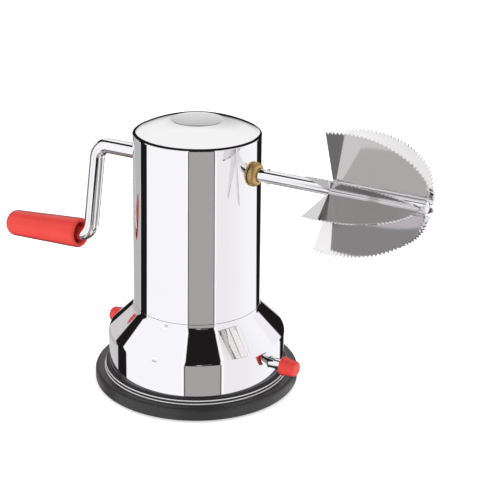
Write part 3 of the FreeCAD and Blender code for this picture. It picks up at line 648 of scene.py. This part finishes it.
# ---------------------------------------------------------------- grip and knobs
def grip_profile():
    L = GRIP_LEN
    r_in, r_out, rec = 9.75, 8.6, 6.7
    bore = ROD_R + 0.09
    zc, cr, co = L - 10.2, 10.2, 6.0
    dz = math.sqrt((cr - co) ** 2 - (r_out - co) ** 2)
    k = cr / (cr - co)
    jr, jz = (r_out - co) * k, zc + dz * k
    prof = Profile()
    # anticlockwise: from the bore's inner end out over the full rounded lip and up the side
    lip = (rec + r_in) / 2 + 0.15
    for p in ((bore, 9.0), (bore, 7.4)):
        prof.add(p, (-1, 0))
    prof.add((bore, 6.7), (-1, -0.15))
    prof.add((bore + 0.25, 6.1), (-1.0, -0.45))
    for i in range(0, 19):
        a = math.radians(90 * i / 18)
        ra, rb = lip - (rec - 0.9), 4.6
        prof.add((lip - ra * math.cos(a), 4.6 - rb * math.sin(a)), (-math.cos(a) / ra, -math.sin(a) / rb))
    for i in range(1, 15):
        a = math.radians(90 * i / 14)
        ra, rb = r_in - lip, 2.2
        prof.add((lip + ra * math.sin(a), 2.2 - rb * math.cos(a)), (math.sin(a) / ra, -math.cos(a) / rb))
    side_n = (zc + dz - 2.2, r_in - r_out)
    prof.n[-1] = (side_n[0] / math.hypot(*side_n), side_n[1] / math.hypot(*side_n))
    for f in (0.1, 0.5, 0.97):
        prof.add((r_in + (r_out - r_in) * f, 2.2 + (zc + dz - 2.2) * f), side_n)
    a_end = math.atan2(dz, r_out - co)
    for i in range(17):
        a = a_end * i / 16
        prof.add((r_out - co + co * math.cos(a), zc + dz + co * math.sin(a)), (math.cos(a), math.sin(a)))
    b0 = math.atan2(jr, jz - zc)
    for i in range(1, 17):
        b = b0 * (1 - i / 16)
        prof.add((cr * math.sin(b), zc + cr * math.cos(b)), (math.sin(b), math.cos(b)))
    prof.p[-1] = (0.0, L)
    ring_s, end_s = 49.5 - GRIP_S0, 55.5 - GRIP_S0
    inner = outline([(0, end_s + 0.8), (6.2, end_s + 0.8), (6.2, ring_s - 0.4), (bore, ring_s - 0.4), (bore, 9.0)], [0, 0.4, 0.2, 0.2, 0], closed=False)
    for p, n in zip(inner.p, inner.n):
        prof.add(p, n)
    prof.n[len(prof.n) - len(inner.p)] = (0, -1)
    return prof


G = grip_frame() @ Matrix.Translation((0, 0, GRIP_S0))
deep("grip_moulded", "grip", "grip", M_RED, lathe("grip_moulded", grip_profile(), 96, place=G))


def knob_profile(rod_r):
    bore = rod_r + 0.01
    return outline([(bore, 0), (6.1, 0), (4.7, 10.4), (0, 10.4), (0, 8.7), (bore, 8.7)], [0.3, 0.8, 1.7, 0, 0, 0.2], step=6.0)


def lever_frame(side):
    """Lathe axis (+Z outward) along the lever, right (+1) or left (-1), origin on the crank axis plane."""
    z = Vector((math.cos(LEVER_YAW), math.sin(LEVER_YAW), 0)) * side
    x = Vector((0, 0, 1))
    y = z.cross(x)
    m_ = Matrix((x, y, z)).transposed().to_4x4()
    m_.translation = Vector((0, 0, LEVER_Z))
    return m_


for side, x, node, rod_r in ((1, 64.95, "lever_knob_right", LEVER_R2), (-1, 58.5, "lever_knob_left", LEVER_R)):
    p = knob_profile(rod_r)
    deep(node + "_moulded", node, "lever", M_RED,
         lathe(node + "_moulded", p, 96, place=lever_frame(side) @ Matrix.Translation((0, 0, x))))


# ---------------------------------------------------------------- bushes
def bush_profile(bore_r, mouth_r):
    """Body below zero, above it a full rounded flange with a wider mouth round the shaft."""
    tr, fr, front, seat = 11.5 / 2 - 0.03, 7.5, 4.05, 2.4
    lip = mouth_r + 0.35
    prof = Profile()
    for p, n in zip(*(lambda o: (o.p, o.n))(outline([(bore_r, seat), (bore_r, -11.0), (tr, -11.0), (tr, 0.0), (fr - 0.5, 0.0)], [0, 0.1, 0.3, 0.05, 0], closed=False))):
        prof.add(p, n)
    prof.n[0] = (-1, 0)
    for i in range(1, 7):
        a = math.radians(90 * i / 6)
        prof.add((fr - 0.5 + 0.5 * math.sin(a), 0.5 - 0.5 * math.cos(a)), (math.sin(a), -math.cos(a)))
    ra, rb = fr - lip, front - 0.5
    for i in range(1, 23):
        a = math.radians(90 * i / 22)
        prof.add((lip + ra * math.cos(a), 0.5 + rb * math.sin(a)), (math.cos(a) / ra, math.sin(a) / rb))
    for i in range(1, 7):
        a = math.radians(90 * i / 6)
        prof.add((lip - 0.35 * math.sin(a), front - 0.35 + 0.35 * math.cos(a)), (-math.sin(a), math.cos(a)))
    prof.add((mouth_r, seat + 0.1), (-1, 0))
    prof.add((mouth_r - 0.1, seat), (0, 1))
    prof.add((bore_r + 0.05, seat), (0, 1))
    return prof


def x_frame(x, side=1):
    z = Vector((side, 0, 0))
    xx = Vector((0, 0, 1))
    y = z.cross(xx)
    m_ = Matrix((xx, y, z)).transposed().to_4x4()
    m_.translation = Vector((x, 0, AXIS_Z))
    return m_


deep("blade_side_bush_turned", "blade_side_bush", "root", M_BRASS,
     lathe("blade_side_bush_turned", bush_profile(TIP_R + 0.06, 4.2), 128, place=x_frame(39.35)))
deep("crank_side_bush_turned", "crank_side_bush", "root", M_BRASS,
     lathe("crank_side_bush_turned", bush_profile(JOURNAL_R + 0.06, 5.1), 128, place=x_frame(-39.35, -1)))


# ---------------------------------------------------------------- blade spindle, pin and end cap
SPIN_X0, SPIN_X1 = 41.95, 149.4
sp = outline([(3.04, 0), (SPINDLE_R, 0), (SPINDLE_R, SPIN_X1 - SPIN_X0), (3.04, SPIN_X1 - SPIN_X0)], [0.12, 0.3, 0.3, 0.12], step=12.0)
deep("blade_spindle_tube", "blade_spindle", "crank", M_SPINDLE, lathe("blade_spindle_tube", sp, 96, place=x_frame(SPIN_X0)))
PIN_X, PIN_R, PIN_LEN = 49.4, 1.22, 9.2
pin = outline([(0, -PIN_LEN / 2), (PIN_R, -PIN_LEN / 2), (PIN_R, PIN_LEN / 2), (0, PIN_LEN / 2)], [0, 0.45, 0.45, 0], step=12.0)
pin.n[0], pin.n[-1] = (0, -1), (0, 1)
deep("spindle_pin_round", "spindle_pin", "crank", M_SPINDLE,
     lathe("spindle_pin_round", pin, 32, place=Matrix.Translation((PIN_X, 0, AXIS_Z)) @ Matrix.Rotation(CRANK_PHI - math.pi / 2, 4, "X")))


def cap_profile():
    prof = Profile()
    side = outline([(0, -6.0), (3.01, -6.0), (3.01, 0.0), (SPINDLE_R, 0.0), (SPINDLE_R, 0.55)], [0, 0.3, 0.05, 0.15, 0], closed=False)
    for p_, n_ in zip(side.p, side.n):
        prof.add(p_, n_)
    prof.n[0] = (0, -1)
    big = (SPINDLE_R ** 2 + 1.45 ** 2) / 2.9
    a0 = math.asin(SPINDLE_R / big)
    for i in range(0, 13):
        a = a0 * (1 - i / 12)
        if i == 0:
            continue
        prof.add((big * math.sin(a), 2.0 - big + big * math.cos(a)), (math.sin(a), math.cos(a)))
    prof.p[-1] = (0.0, 2.0)
    return prof


deep("spindle_end_cap_domed", "spindle_end_cap", "crank", M_SPINDLE,
     lathe("spindle_end_cap_domed", cap_profile(), 64, place=x_frame(SPIN_X1 + 0.02)))

# ---------------------------------------------------------------- blades
TEETH, TOOTH_DEPTH, BLADE_T = 31, 1.75, 0.8
FOLD_C, FOLD_R, BACK_SLANT = 5.33, 1.0, 1.0
# direction of the fold, semi-axis along the shaft; per wing: tooth tips' direction and distance, ellipse centre, back edge
BLADES = {"blade_rear_upper": (77.0, 47.7, ((54.3, 39.45, 104.6, 89.6), (106.1, 40.2, 105.7, 90.7))),
          "blade_front_upper": (178.4, 47.3, ((152.75, 37.6, 100.0, 90.1), (188.25, 38.65, 100.5, 90.6))),
          "blade_front_lower": (263.2, 50.1, ((232.6, 39.1, 102.8, 91.4), (283.1, 38.45, 101.1, 90.0))),
          "blade_rear_lower": (352.0, 48.8, ((330.0, 38.4, 102.5, 90.0), (374.0, 38.4, 102.5, 90.0)))}


def toothed_edge(cx, a, b, x_back):
    """Toothed elliptical edge from the back corner to the tip, as (x, height over the root), mm."""
    t0, t1, n = math.acos((x_back - cx) / a), 0.085, 400
    pts = [(cx + a * math.cos(t0 + (t1 - t0) * i / n), b * math.sin(t0 + (t1 - t0) * i / n), t0 + (t1 - t0) * i / n) for i in range(n + 1)]
    acc = [0.0]
    for i in range(n):
        acc.append(acc[-1] + math.hypot(pts[i + 1][0] - pts[i][0], pts[i + 1][1] - pts[i][1]))
    out, j, m_ = [], 0, 2 * TEETH
    for k in range(m_ + 1):
        s_ = acc[-1] * k / m_
        while j < n - 1 and acc[j + 1] < s_:
            j += 1
        f = (s_ - acc[j]) / (acc[j + 1] - acc[j])
        x, r, t = [pts[j][q] + (pts[j + 1][q] - pts[j][q]) * f for q in range(3)]
        nx, nr = math.cos(t) / a, math.sin(t) / b
        ln = math.hypot(nx, nr)
        if k % 2:
            x, r = x - nx / ln * TOOTH_DEPTH, r - nr / ln * TOOTH_DEPTH
        out.append((x, r))
    return [q for q in out if q[1] > 0.6]


def wing_line(c, theta, reach, side):
    """A wing's mid line across the shaft: its start on the bend, its direction, its length and the way out of the fold."""
    t = np.array([reach * math.cos(theta), reach * math.sin(theta)]) - c
    ln = float(np.hypot(*t))
    a = math.atan2(t[1], t[0]) - side * math.asin(FOLD_R / ln)
    e = np.array([math.cos(a), math.sin(a)])
    out = np.array([-e[1], e[0]]) * side
    return c + out * FOLD_R, e, math.sqrt(ln * ln - FOLD_R * FOLD_R), out


def blade_mesh(name, spec):
    """One folded sheet as a closed solid: two flat toothed wings and the bend between them along the spindle."""
    fold, sa_x, wings = math.radians(spec[0]), spec[1], spec[2]
    c = np.array([math.cos(fold), math.sin(fold)]) * FOLD_C
    bm = bmesh.new()
    h = BLADE_T / 2

    def vert(x, yz, n, side):
        q = yz + n * h * side
        return bm.verts.new((x * S, q[0] * S, (q[1] + AXIS_Z) * S))

    def face(vs, flip):
        return bm.faces.new(vs[::-1] if flip else vs)
    flat = []
    for side, (theta, reach, cx, x_back) in zip((-1, 1), wings):
        s_, e, height, n = wing_line(c, math.radians(theta), reach, side)
        edge = toothed_edge(cx, sa_x, height, x_back)
        flat.append((s_, e, n, edge, x_back + BACK_SLANT, min(edge[-1][0], SPIN_X1 - 0.2)))
    a0, a1 = [math.atan2(w[2][1], w[2][0]) for w in flat]
    mid = fold + math.pi
    while a0 > mid:
        a0 -= 2 * math.pi
    while a0 < mid - math.pi:
        a0 += 2 * math.pi
    while a1 < mid:
        a1 += 2 * math.pi
    while a1 > mid + math.pi:
        a1 -= 2 * math.pi
    k = max(12, int(math.degrees(a1 - a0) / 8))
    layers = {}
    for side in (1, -1):
        rows = []
        for i in range(k + 1):
            f = i / k
            a = a0 + (a1 - a0) * f
            n = np.array([math.cos(a), math.sin(a)])
            xr = flat[0][4] + (flat[1][4] - flat[0][4]) * f
            xf = flat[0][5] + (flat[1][5] - flat[0][5]) * f
            rows.append((vert(xr, c + n * FOLD_R, n, side), vert(xf, c + n * FOLD_R, n, side)))
        outs = []
        for (s_, e, n, edge, xr, xf) in flat:
            pts = list(edge)
            if edge[-1][0] > xf + 0.05:
                pts.append((edge[-1][0], 0.0))
            outs.append([vert(x, s_ + e * r, n, side) for x, r in pts])
        layers[side] = (rows, outs)
    for side in (1, -1):
        rows, outs = layers[side]
        f = side < 0
        face([rows[0][0]] + outs[0] + [rows[0][1]], not f)
        face([rows[-1][0]] + outs[1] + [rows[-1][1]], f)
        for i in range(k):
            face([rows[i][0], rows[i + 1][0], rows[i + 1][1], rows[i][1]], f)
    ru, wu = layers[1]
    rd, wd = layers[-1]
    loop_u = [r[0] for r in ru] + wu[1] + [r[1] for r in ru[::-1]] + wu[0][::-1]
    loop_d = [r[0] for r in rd] + wd[1] + [r[1] for r in rd[::-1]] + wd[0][::-1]
    for i in range(len(loop_u)):
        j = (i + 1) % len(loop_u)
        face([loop_u[i], loop_d[i], loop_d[j], loop_u[j]], False)
    bmesh.ops.recalc_face_normals(bm, faces=bm.faces)
    rim = [e for e in bm.edges if len(e.link_faces) == 2 and e.link_faces[0].normal.angle(e.link_faces[1].normal) > math.radians(60)]
    long_rim = [e for e in rim if any(len(f.verts) > 4 for f in e.link_faces) or abs(e.verts[0].co.x - e.verts[1].co.x) < 1e-4]
    bmesh.ops.bevel(bm, geom=long_rim, offset=0.10 * S, segments=2, profile=0.5, affect="EDGES", clamp_overlap=True)
    me = bpy.data.meshes.new(name)
    bm.to_mesh(me)
    bm.free()
    # the bend shades smoothly, the wings are flat
    smooth = []
    for poly in me.polygons:
        q = np.array([poly.center.y / S, poly.center.z / S - AXIS_Z]) - c
        smooth.append(len(poly.vertices) == 4 and abs(poly.normal.x) < 0.1 and float(np.hypot(*q)) < FOLD_R + h + 0.05)
    me.polygons.foreach_set("use_smooth", smooth)
    me.update()
    return link(name, me)


for node, spec in BLADES.items():
    deep(node + "_folded", node, "crank", M_BLADE, blade_mesh(node + "_folded", spec))

# ---------------------------------------------------------------- vacuum lever rod
rod_len = outline([(0, -67.2), (2.75, -67.2), (2.75, -32.82), (2.15, -32.82), (2.15, -31.92), (2.75, -31.92),
                   (2.75, 31.92), (2.15, 31.92), (2.15, 32.82), (2.75, 32.82), (2.75, 33.3), (LEVER_R2, 33.3), (LEVER_R2, 73.4), (0, 73.4)],
                  [0, 0.4, 0.08, 0.05, 0.05, 0.08, 0.08, 0.05, 0.05, 0.08, 0.05, 0.15, 0.4, 0], step=15.0)
rod_len.n[0], rod_len.n[-1] = (0, -1), (0, 1)
deep("lever_rod_turned", "lever_rod", "lever", M_ROD, lathe("lever_rod_turned", rod_len, 64, place=lever_frame(1)))


# ---------------------------------------------------------------- suction pad
def pad_profile():
    """Rubber disc: thin rim with a bead, a hollow underside with shallow rings, flat where the plate sits."""
    pts = [(0, 0.7), (16.0, 0.7), (20.0, 0.7)]
    for r in (27.0, 33.0, 39.0):
        z = 0.7 * (50 - r) / 30
        pts += [(r - 0.9, z + 0.02), (r - 0.3, z + 0.3), (r + 0.3, z + 0.3), (r + 0.9, z)]
    pts += [(50.0, 0.0), (60.5, 0.0), (60.5, 3.0), (57.2, 3.0), (56.2, 2.5)]
    pts += [(r, 2.5) for r in (50, 45, 40, 35, 30, 25, 20, 16)] + [(0, 2.5)]
    radii = [0, 0, 1.0] + [0.2, 0.15, 0.15, 0.2] * 3 + [1.0, 0.5, 0.5, 0.4, 0.4] + [0] * 9
    prof = outline(pts, radii, step=15.0)
    prof.n[0], prof.n[-1] = (0, -1), (0, 1)
    return prof


pad = lathe("suction_pad_moulded", pad_profile(), 128)
pad.data.materials.append(M_RUBBER)
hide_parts("suction_pad")
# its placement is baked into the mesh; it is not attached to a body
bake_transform(pad)

# ---------------------------------------------------------------- floor and light
def disc_floor(r):
    me = bpy.data.meshes.new("floor")
    n = 96
    co = [(0, 0, 0)] + [(r * math.cos(2 * math.pi * i / n), r * math.sin(2 * math.pi * i / n), 0) for i in range(n)]
    me.from_pydata(co, [], [[0, i + 1, (i + 1) % n + 1] for i in range(n)])
    return link("floor", me)


floor = disc_floor(40.0)
mat, nt, b = new_mat("floor_pale")
b.inputs["Base Color"].default_value = (0.92, 0.92, 0.92, 1)
b.inputs["Roughness"].default_value = 0.9
b.inputs["Specular IOR Level"].default_value = 0.0
b.inputs["Emission Color"].default_value = (1, 1, 1, 1)
b.inputs["Emission Strength"].default_value = 0.5
floor.data.materials.append(mat)
floor.visible_glossy = False

scene = bpy.context.scene
scene.view_settings.view_transform = "Standard"
scene.view_settings.look = "None"


class Sky:
    """World shader: plain pale light, and for mirror reflections a fixed studio of cards and flags.
    A card is placed by the slant of the mirror that would show it to a viewer at the front:
    b is that mirror's turn about Z from facing the front (to the right positive), e its tilt upwards, degrees."""

    def __init__(self):
        self.w = bpy.data.worlds.new("studio")
        scene.world = self.w
        self.w.use_nodes = True
        self.nt = self.w.node_tree
        self.nt.nodes.clear()
        tc = self.nt.nodes.new("ShaderNodeTexCoord")
        self.dir = tc.outputs["Generated"]
        toward = Vector((math.sin(CAM_AZ), -math.cos(CAM_AZ), 0))
        front = -fwd
        add = self.nt.nodes.new("ShaderNodeVectorMath")
        add.operation = "ADD"
        self.nt.links.new(self.dir, add.inputs[0])
        add.inputs[1].default_value = front
        nrm = self.nt.nodes.new("ShaderNodeVectorMath")
        nrm.operation = "NORMALIZE"
        self.nt.links.new(add.outputs[0], nrm.inputs[0])
        self.half = nrm.outputs[0]
        self.b = self.math("MULTIPLY", self.math("ARCTAN2", self.dot(self.half, right0), self.dot(self.half, toward)), 180 / math.pi)
        self.e = self.math("MULTIPLY", self.math("ARCSINE", self.dot(self.half, Vector((0, 0, 1)))), 180 / math.pi)
        self.back = self.dot(self.dir, fwd)
        self.col = None

    def math(self, op, a, b=None, c=None, clamp=False):
        n = self.nt.nodes.new("ShaderNodeMath")
        n.operation = op
        n.use_clamp = clamp
        for i, x in enumerate((a, b, c)):
            if x is None:
                continue
            if isinstance(x, (int, float)):
                n.inputs[i].default_value = x
            else:
                self.nt.links.new(x, n.inputs[i])
        return n.outputs[0]

    def dot(self, vec, v):
        n = self.nt.nodes.new("ShaderNodeVectorMath")
        n.operation = "DOT_PRODUCT"
        self.nt.links.new(vec, n.inputs[0])
        n.inputs[1].default_value = v
        return n.outputs["Value"]

    def edge(self, x, at, soft):
        """0 below at, 1 above it, over a soft width."""
        n = self.nt.nodes.new("ShaderNodeMapRange")
        n.interpolation_type = "SMOOTHSTEP"
        n.inputs["From Min"].default_value = at - soft / 2
        n.inputs["From Max"].default_value = at + soft / 2
        self.nt.links.new(x, n.inputs["Value"])
        return n.outputs["Result"]

    def span(self, x, lo, hi, soft_lo, soft_hi):
        up_ = self.edge(x, lo, soft_lo) if lo > -900 else None
        dn = self.math("SUBTRACT", 1.0, self.edge(x, hi, soft_hi)) if hi < 900 else None
        if up_ is None:
            return dn
        if dn is None:
            return up_
        return self.math("MULTIPLY", up_, dn)

    def paint(self, mask, rgb, opacity=1.0):
        if isinstance(rgb, (int, float)):
            rgb = (rgb, rgb, rgb)
        n = self.nt.nodes.new("ShaderNodeMix")
        n.data_type = "RGBA"
        if opacity != 1.0:
            mask = self.math("MULTIPLY", mask, opacity)
        self.nt.links.new(mask, n.inputs[0])
        if self.col is None:
            n.inputs[6].default_value = (1, 1, 1, 1)
        else:
            self.nt.links.new(self.col, n.inputs[6])
        n.inputs[7].default_value = (*rgb, 1)
        self.col = n.outputs[2]

    def card(self, rgb, b=(-999, 999), e=(-999, 999), sb=(0.8, 0.8), se=(1.0, 1.0), opacity=1.0):
        """Lay a card over what is there: span of turn and tilt, and how soft each edge is."""
        if isinstance(sb, (int, float)):
            sb = (sb, sb)
        if isinstance(se, (int, float)):
            se = (se, se)
        mb = self.span(self.b, *b, *sb) if b != (-999, 999) else None
        me = self.span(self.e, *e, *se) if e != (-999, 999) else None
        mask = mb if me is None else me if mb is None else self.math("MULTIPLY", mb, me)
        self.paint(mask, rgb, opacity)


    def fall(self, mask, stops):
        """Over mask, a grey that changes with how nearly a direction points straight away from the front: (cosine, tone)."""
        n = self.nt.nodes.new("ShaderNodeValToRGB")
        cr = n.color_ramp
        while len(cr.elements) < len(stops):
            cr.elements.new(0.5)
        for el, (x, v) in zip(cr.elements, stops):
            el.position = x
            el.color = (*[c for c in tone(v)], 1)
        self.nt.links.new(self.back, n.inputs["Fac"])
        m = self.nt.nodes.new("ShaderNodeMix")
        m.data_type = "RGBA"
        self.nt.links.new(mask, m.inputs[0])
        self.nt.links.new(self.col, m.inputs[6])
        self.nt.links.new(n.outputs["Color"], m.inputs[7])
        self.col = m.outputs[2]


def lin(v):
    v = v / 255.0
    return v / 12.92 if v <= 0.04045 else ((v + 0.055) / 1.055) ** 2.4


def tone(r, g=None, b_=None, gain=1.0 / 0.93):
    """Card colour that polished steel shows as the given display tone."""
    g = r if g is None else g
    b_ = r if b_ is None else b_
    return (lin(r) * gain, lin(g) * gain, lin(b_) * gain)


BLACK = tone(27, 25, 26)
sky = Sky()
sky.card(tone(247, 246, 250), b=(-999, 0), sb=30.0)
sky.card(tone(236, 234, 237), b=(0, 999), sb=20.0)
sky.card(tone(246, 245, 248), b=(42, 999), sb=30.0)
# outer left and right backs
sky.card(tone(181, 180, 180), b=(-999, -60.2), sb=(1, 1.0))
sky.card(tone(204, 203, 203), b=(-999, -55), e=(28, 50), sb=(1, 1.0), se=(6, 2))
sky.card(tone(200, 199, 199), b=(-999, -55), e=(-999, -5.2), sb=(1, 1.0), se=(1, 1))
sky.card(BLACK, b=(-999, -84.5), e=(18, 50), sb=(1, 1.6), se=(6, 2))
# upright flags
lean = sky.math("MULTIPLY", sky.edge(sky.e, 19.0, 38.0), 4.3)
sky.paint(sky.span(sky.math("ADD", sky.b, lean), -59.6, -49.6, 1.0, 1.0), BLACK)
sky.card(BLACK, b=(69.0, 999), sb=(1.6, 1.6))
sky.card(tone(240, 238, 242), b=(60, 73.0), e=(24, 44), sb=(2, 1.6), se=(6, 2))
sky.card(tone(225, 224, 226), b=(97.0, 999), e=(24, 50), sb=(1.6, 1.6), se=(6, 2))
# strip toward the front: grey below, black above
sky.card(tone(252), b=(-8.2, 18.4), e=(-999, 57), sb=(1.2, 1.2))
sky.card(tone(85, 82, 82), b=(-6.9, 17.0), e=(-999, 9.3), sb=(0.4, 0.4), se=(1, 1.2))
sky.card(tone(163, 160, 160), b=(-6.1, 16.2), e=(-999, 7.6), sb=(0.8, 0.8), se=(1, 2.5))
sky.card(BLACK, b=(-6.5, 16.5), e=(9.6, 57), sb=(0.8, 0.8), se=(1.2, 1))
# low front, under the level of the table
sky.card(tone(116), b=(-48, -12), e=(-999, -9.5), sb=(8, 8), se=(1, 3))
sky.card(tone(72), e=(-999, -28), se=(1, 12))
sky.card(tone(163), b=(-31, -18), e=(-29, -21), sb=(4, 4), se=(3, 3))
# small cards that only the flat sheets, which mirror each other, catch
sky.card(tone(211), b=(-28.0, -25.0), e=(4.5, 12.5), sb=(1, 1), se=(3, 4))
sky.card(tone(157), b=(-28.0, -25.2), e=(12.5, 20.5), sb=(1, 1), se=(4, 4))
sky.card(tone(235), b=(-28.3, -24.2), e=(20.5, 31), sb=(1, 1), se=(4, 4))
sky.card(tone(251), b=(-29.5, -22.5), e=(36, 41.35), sb=(3, 3), se=(3, 0.3))
sky.card(tone(266), b=(-29.5, -25.8), e=(36, 41.35), sb=(3, 0.6), se=(3, 0.3))
sky.card(tone(273), b=(8, 12.2), e=(-11.6, -5.5), sb=1, se=1)
sky.card(tone(334), b=(12.0, 18), e=(-15, -10.5), sb=1, se=1)
sky.card(tone(325), b=(18, 27), e=(-22, -14.5), sb=1, se=1)
sky.card(tone(256), b=(27, 35), e=(-23, -16), sb=1, se=1)
sky.card(tone(303), b=(46, 53), e=(-9.5, -5.9), sb=1, se=(1, 0.5))
sky.card(tone(250), b=(1.4, 4.6), e=(13.6, 16.4), sb=0.4, se=0.4)
sky.card(tone(120), b=(0, 11.0), e=(17.4, 21.2), sb=0.4, se=0.4)
# straight behind the object the plain wall shows
sky.paint(sky.math("MULTIPLY", sky.edge(sky.back, math.cos(math.radians(14)), 0.03), sky.span(sky.e, -999, 40, 1, 4)), tone(215))
# ring of black round the top, then the white ceiling, darker towards the far wall
sky.card(BLACK, e=(44.6, 60.0), se=(1.0, 1.0))
sky.card(tone(195), b=(-28.2, -24.8), e=(43.9, 47.3), sb=0.6, se=0.6)
sky.fall(sky.edge(sky.e, 60.4, 1.0), [(0.45, 244), (0.72, 240), (0.80, 233), (0.86, 212), (0.895, 178), (0.91, 110), (0.925, 27)])
sky.fall(sky.edge(sky.e, 77.0, 10.0), [(0.47, 244), (0.57, 229), (0.72, 213), (0.80, 200), (0.865, 186), (0.885, 120), (0.90, 27)])
lp = sky.nt.nodes.new("ShaderNodeLightPath")
bg_g = sky.nt.nodes.new("ShaderNodeBackground")
sky.nt.links.new(sky.col, bg_g.inputs["Color"])
bg_d = sky.nt.nodes.new("ShaderNodeBackground")
bg_d.inputs["Color"].default_value = (1, 1, 1, 1)
bg_d.inputs["Strength"].default_value = 0.95
mixs = sky.nt.nodes.new("ShaderNodeMixShader")
sky.nt.links.new(lp.outputs["Is Glossy Ray"], mixs.inputs[0])
sky.nt.links.new(bg_d.outputs[0], mixs.inputs[1])
sky.nt.links.new(bg_g.outputs[0], mixs.inputs[2])
outw = sky.nt.nodes.new("ShaderNodeOutputWorld")
sky.nt.links.new(mixs.outputs[0], outw.inputs[0])
